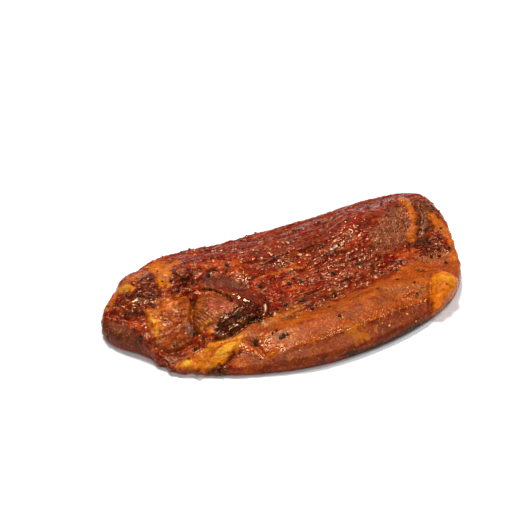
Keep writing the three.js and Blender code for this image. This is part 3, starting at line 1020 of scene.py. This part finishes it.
def marinadeFinish(setup):
    f = Finish("marinadeFinish")
    noises = {name: f.blobs(*shape) for name, shape in setup["noises"].items()}
    marks = {name: f.marked(name) for name in ("fat", "calm", "wet", "eyeFibre", "dry", "speckled", "swell")}
    lean = f.ramp(marks["fat"], 0, 1, 1, 0.25)
    marks["wild"] = f.times(f.ramp(marks["calm"], 0, 1, 1, 0.5), lean)
    marks["fibrous"] = f.times(f.ramp(marks["calm"], 0, 1, 1, 0.25), lean)
    marks["calmLean"] = f.times(marks["calm"], lean)
    colour = f.marked("tint", "Color")
    for name, ramp, mark, kind, tint in setup["layers"]:
        share = f.times(f.ramp(noises[name], *ramp), marks[mark])
        colour = f.mix(kind, share, colour, (*tint, 1))
    cracks = f.math("ABSOLUTE", f.math("SUBTRACT", noises["cracks"], 0.5))
    cracks = f.times(f.ramp(cracks, 0.0, 0.035, 1, 0), marks["fat"])
    colour = f.mix("MULTIPLY", f.times(cracks, 0.75), colour, (*setup["crackTint"], 1))
    distance, oneNumber, otherNumber = f.grains(setup["grainSize"])
    dark = f.times(f.ramp(distance, 0.22, 0.34, 0.8, 0), f.ramp(oneNumber, 0.72, 0.74, 0, 1), lean)
    bright = f.times(f.ramp(distance, 0.22, 0.34, 0.55, 0), f.ramp(otherNumber, 0.80, 0.82, 0, 1))
    colour = f.mix("MIX", dark, colour, (*setup["darkGrain"], 1))
    colour = f.mix("MIX", bright, colour, (*setup["brightGrain"], 1))
    rough = f.ramp(marks["wet"], -1, 1, *setup["roughness"])
    rough = f.math("ADD", rough, f.ramp(f.blobs(4.0), 0.40, 0.62, -0.03, 0.12))
    strings = f.blobs(2.4, 0.5, muscleTurn, 2.8)
    normal = f.bump(f.level(strings, marks["swell"]), 1.3)
    normal = f.bump(f.level(f.blobs(2.0, 0.0), marks["swell"]), 0.5, normal)
    normal = f.bump(f.level(noises["eyeLines"], marks["eyeFibre"]), 0.8, normal)
    normal = f.bump(f.times(cracks, -1.0), 0.2, normal)
    normal = f.bump(f.level(f.blobs(1.1, 0.5), marks["dry"]), 0.75, normal)
    f.feed(f.shader, {"Base Color": colour, "Roughness": rough, "Normal": normal})
    f.feed(f.shader, setup["surface"])
    return f.material


seedPlaces = [
    (32, -44, 1.8), (59, -45, 1.8), (70, -35, 2), (6, -41, 1.4), (33, -15, 1.4), (75, -38, 1.4),
    (-9, 15, 1.8), (-88, -37, 1.6), (-14, -72, 1.4), (7, -68, 1.2), (-72, -48, 1.4), (-36, -65, 1.2),
]

# For each kind of grain: its named places, how many more are strewn at random, their least
# and greatest width, how deep they sit, the seed, how its shapes are broken, and its finish.
sprinkling = {
    "pepper": {
        "named": pepperPlaces, "strewn": 420, "width": (0.7, 2.2), "sunk": 0.3, "seed": 3,
        "shapes": 8, "facets": 2, "cuts": 3, "flatness": 0.6,
        "dark": (24, 16, 12), "light": (78, 56, 44), "rough": 0.3, "mottle": 0.8,
        "finish": "pepperFinish", "slot": "cracked_pepper",
    },
    "seeds": {
        "named": seedPlaces, "strewn": 60, "width": (0.8, 1.6), "sunk": 0.15, "seed": 8,
        "shapes": 3, "facets": 2, "cuts": 0, "flatness": 0.55,
        "dark": (214, 138, 36), "light": (238, 190, 90), "rough": 0.35, "mottle": 0.8,
        "finish": "seedFinish", "slot": "pale_seed",
    },
    "spice": {
        "named": [], "strewn": 2600, "width": (0.35, 0.8), "sunk": 0.2, "seed": 21,
        "shapes": 4, "facets": 1, "cuts": 0, "flatness": 0.5,
        "dark": (92, 30, 14), "light": (176, 62, 18), "rough": 0.35, "mottle": 1.4,
        "finish": "spiceFinish", "slot": "red_spice",
    },
}


def breakGrain(number, setup):
    # one shape of broken grain, 1 across and flatness high
    picker = random.Random(number * 7 + setup["facets"])
    shape = bmesh.new()
    bmesh.ops.create_icosphere(shape, subdivisions=setup["facets"], radius=0.5)
    for vert in shape.verts:
        vert.co *= 1 + 0.55 * noise.noise(vert.co * 2.6 + Vector((number * 3.7, 0, 0)))
        vert.co.z *= setup["flatness"]
    for _ in range(setup["cuts"]):
        way = Vector([picker.uniform(-1, 1) for _ in range(3)]).normalized()
        cut = bmesh.ops.bisect_plane(
            shape, geom=shape.verts[:] + shape.edges[:] + shape.faces[:],
            plane_co=way * picker.uniform(0.16, 0.32), plane_no=way, clear_outer=True,
        )["geom_cut"]
        rim = [part for part in cut if isinstance(part, bmesh.types.BMEdge)]
        if rim:
            bmesh.ops.contextual_create(shape, geom=rim)
    bmesh.ops.recalc_face_normals(shape, faces=shape.faces)
    spans = [[vert.co[axis] for vert in shape.verts] for axis in (0, 1)]
    widest = max(max(span) - min(span) for span in spans)
    bmesh.ops.scale(shape, vec=Vector((1, 1, 1)) / widest, verts=shape.verts)
    return asMesh(shape, "grain")


class MeatTop:
    # finds places on the finished meat
    def __init__(self, skin):
        mesh = skin.data
        corners = [face.vertices for face in mesh.polygons]
        self.tree = BVHTree.FromPolygons([vert.co for vert in mesh.vertices], corners)
        shown = [f for f in mesh.polygons if f.normal.z > -0.35 and f.center.z > 1.2 * mm]
        self.centres = [f.center.copy() for f in shown]
        self.facings = [f.normal.copy() for f in shown]
        # few grains stay on the calm places and on steep sides
        calm = mesh.attributes["calm"].data
        weights = [f.area * (1 - 0.85 * calm[f.vertices[0]].value) * max(f.normal.z, 0.15) for f in shown]
        self.sums = list(np.cumsum(weights))

    def under(self, x, y):
        place, facing = self.tree.ray_cast(Vector((x * mm, y * mm, 0.1)), Vector((0, 0, -1)))[:2]
        if place is None:  # just past the edge
            place, facing = self.tree.find_nearest(Vector((x, y, 6)) * mm)[:2]
        return place, facing

    def anywhere(self, picker):
        i = picker.choices(range(len(self.sums)), cum_weights=self.sums)[0]
        return self.centres[i], self.facings[i]


def grainFinish(setup):
    f = Finish(setup["finish"])
    size, rough = setup["mottle"], setup["rough"]
    dark, light = [(*linear(*setup[name]), 1) for name in ("dark", "light")]
    f.feed(f.shader, {
        "Base Color": f.mix("MIX", f.ramp(f.blobs(size, 2), 0.42, 0.62, 0, 1), dark, light),
        "Roughness": f.ramp(f.blobs(size * 0.6), 0.3, 0.7, rough - 0.1, rough + 0.15),
        "Normal": f.bump(f.blobs(size * 0.5), 0.09),
        "Specular IOR Level": 0.4,
        "Specular Tint": (1.0, 0.70, 0.38, 1),
    })
    return f.material


def sprinkle(name, setup, top):
    shapes = [breakGrain(number, setup) for number in range(setup["shapes"])]
    picker = random.Random(setup["seed"])
    spots = [(*top.under(x, y), width) for x, y, width in setup["named"]]
    low, high = setup["width"]
    for _ in range(setup["strewn"]):
        place, facing = top.anywhere(picker)
        spots.append((place, facing, low + (high - low) * picker.random() ** 2.5))
    whole = bmesh.new()
    for place, facing, width in spots:
        grain = picker.choice(shapes).copy()
        spin = Matrix.Rotation(picker.uniform(0, 2 * pi), 4, "Z")
        tip = Matrix.Rotation(picker.uniform(-0.5, 0.5), 4, "X")
        stand = facing.to_track_quat("Z", "Y").to_matrix().to_4x4()
        size = Matrix.Diagonal((width * mm, width * mm * picker.uniform(0.65, 1), width * mm, 1))
        lifted = Matrix.Translation(place + facing * width * mm * (0.5 - setup["sunk"]) * 0.5)
        grain.transform(lifted @ stand @ spin @ tip @ size)
        whole.from_mesh(grain)
        bpy.data.meshes.remove(grain)
    piece = addObject(name, asMesh(whole, name))
    piece.data.materials.append(grainFinish(setup))
    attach(piece, "root")
    print(name, "has", len(spots), "grains and", len(piece.data.polygons), "faces")


meat = makeMeat()
meat.data.materials.append(marinadeFinish(marinade))
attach(meat, "root")
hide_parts("steak")
print("the meat is shaped and coloured")

top = MeatTop(meat)
for name, setup in sprinkling.items():
    sprinkle(name, setup, top)
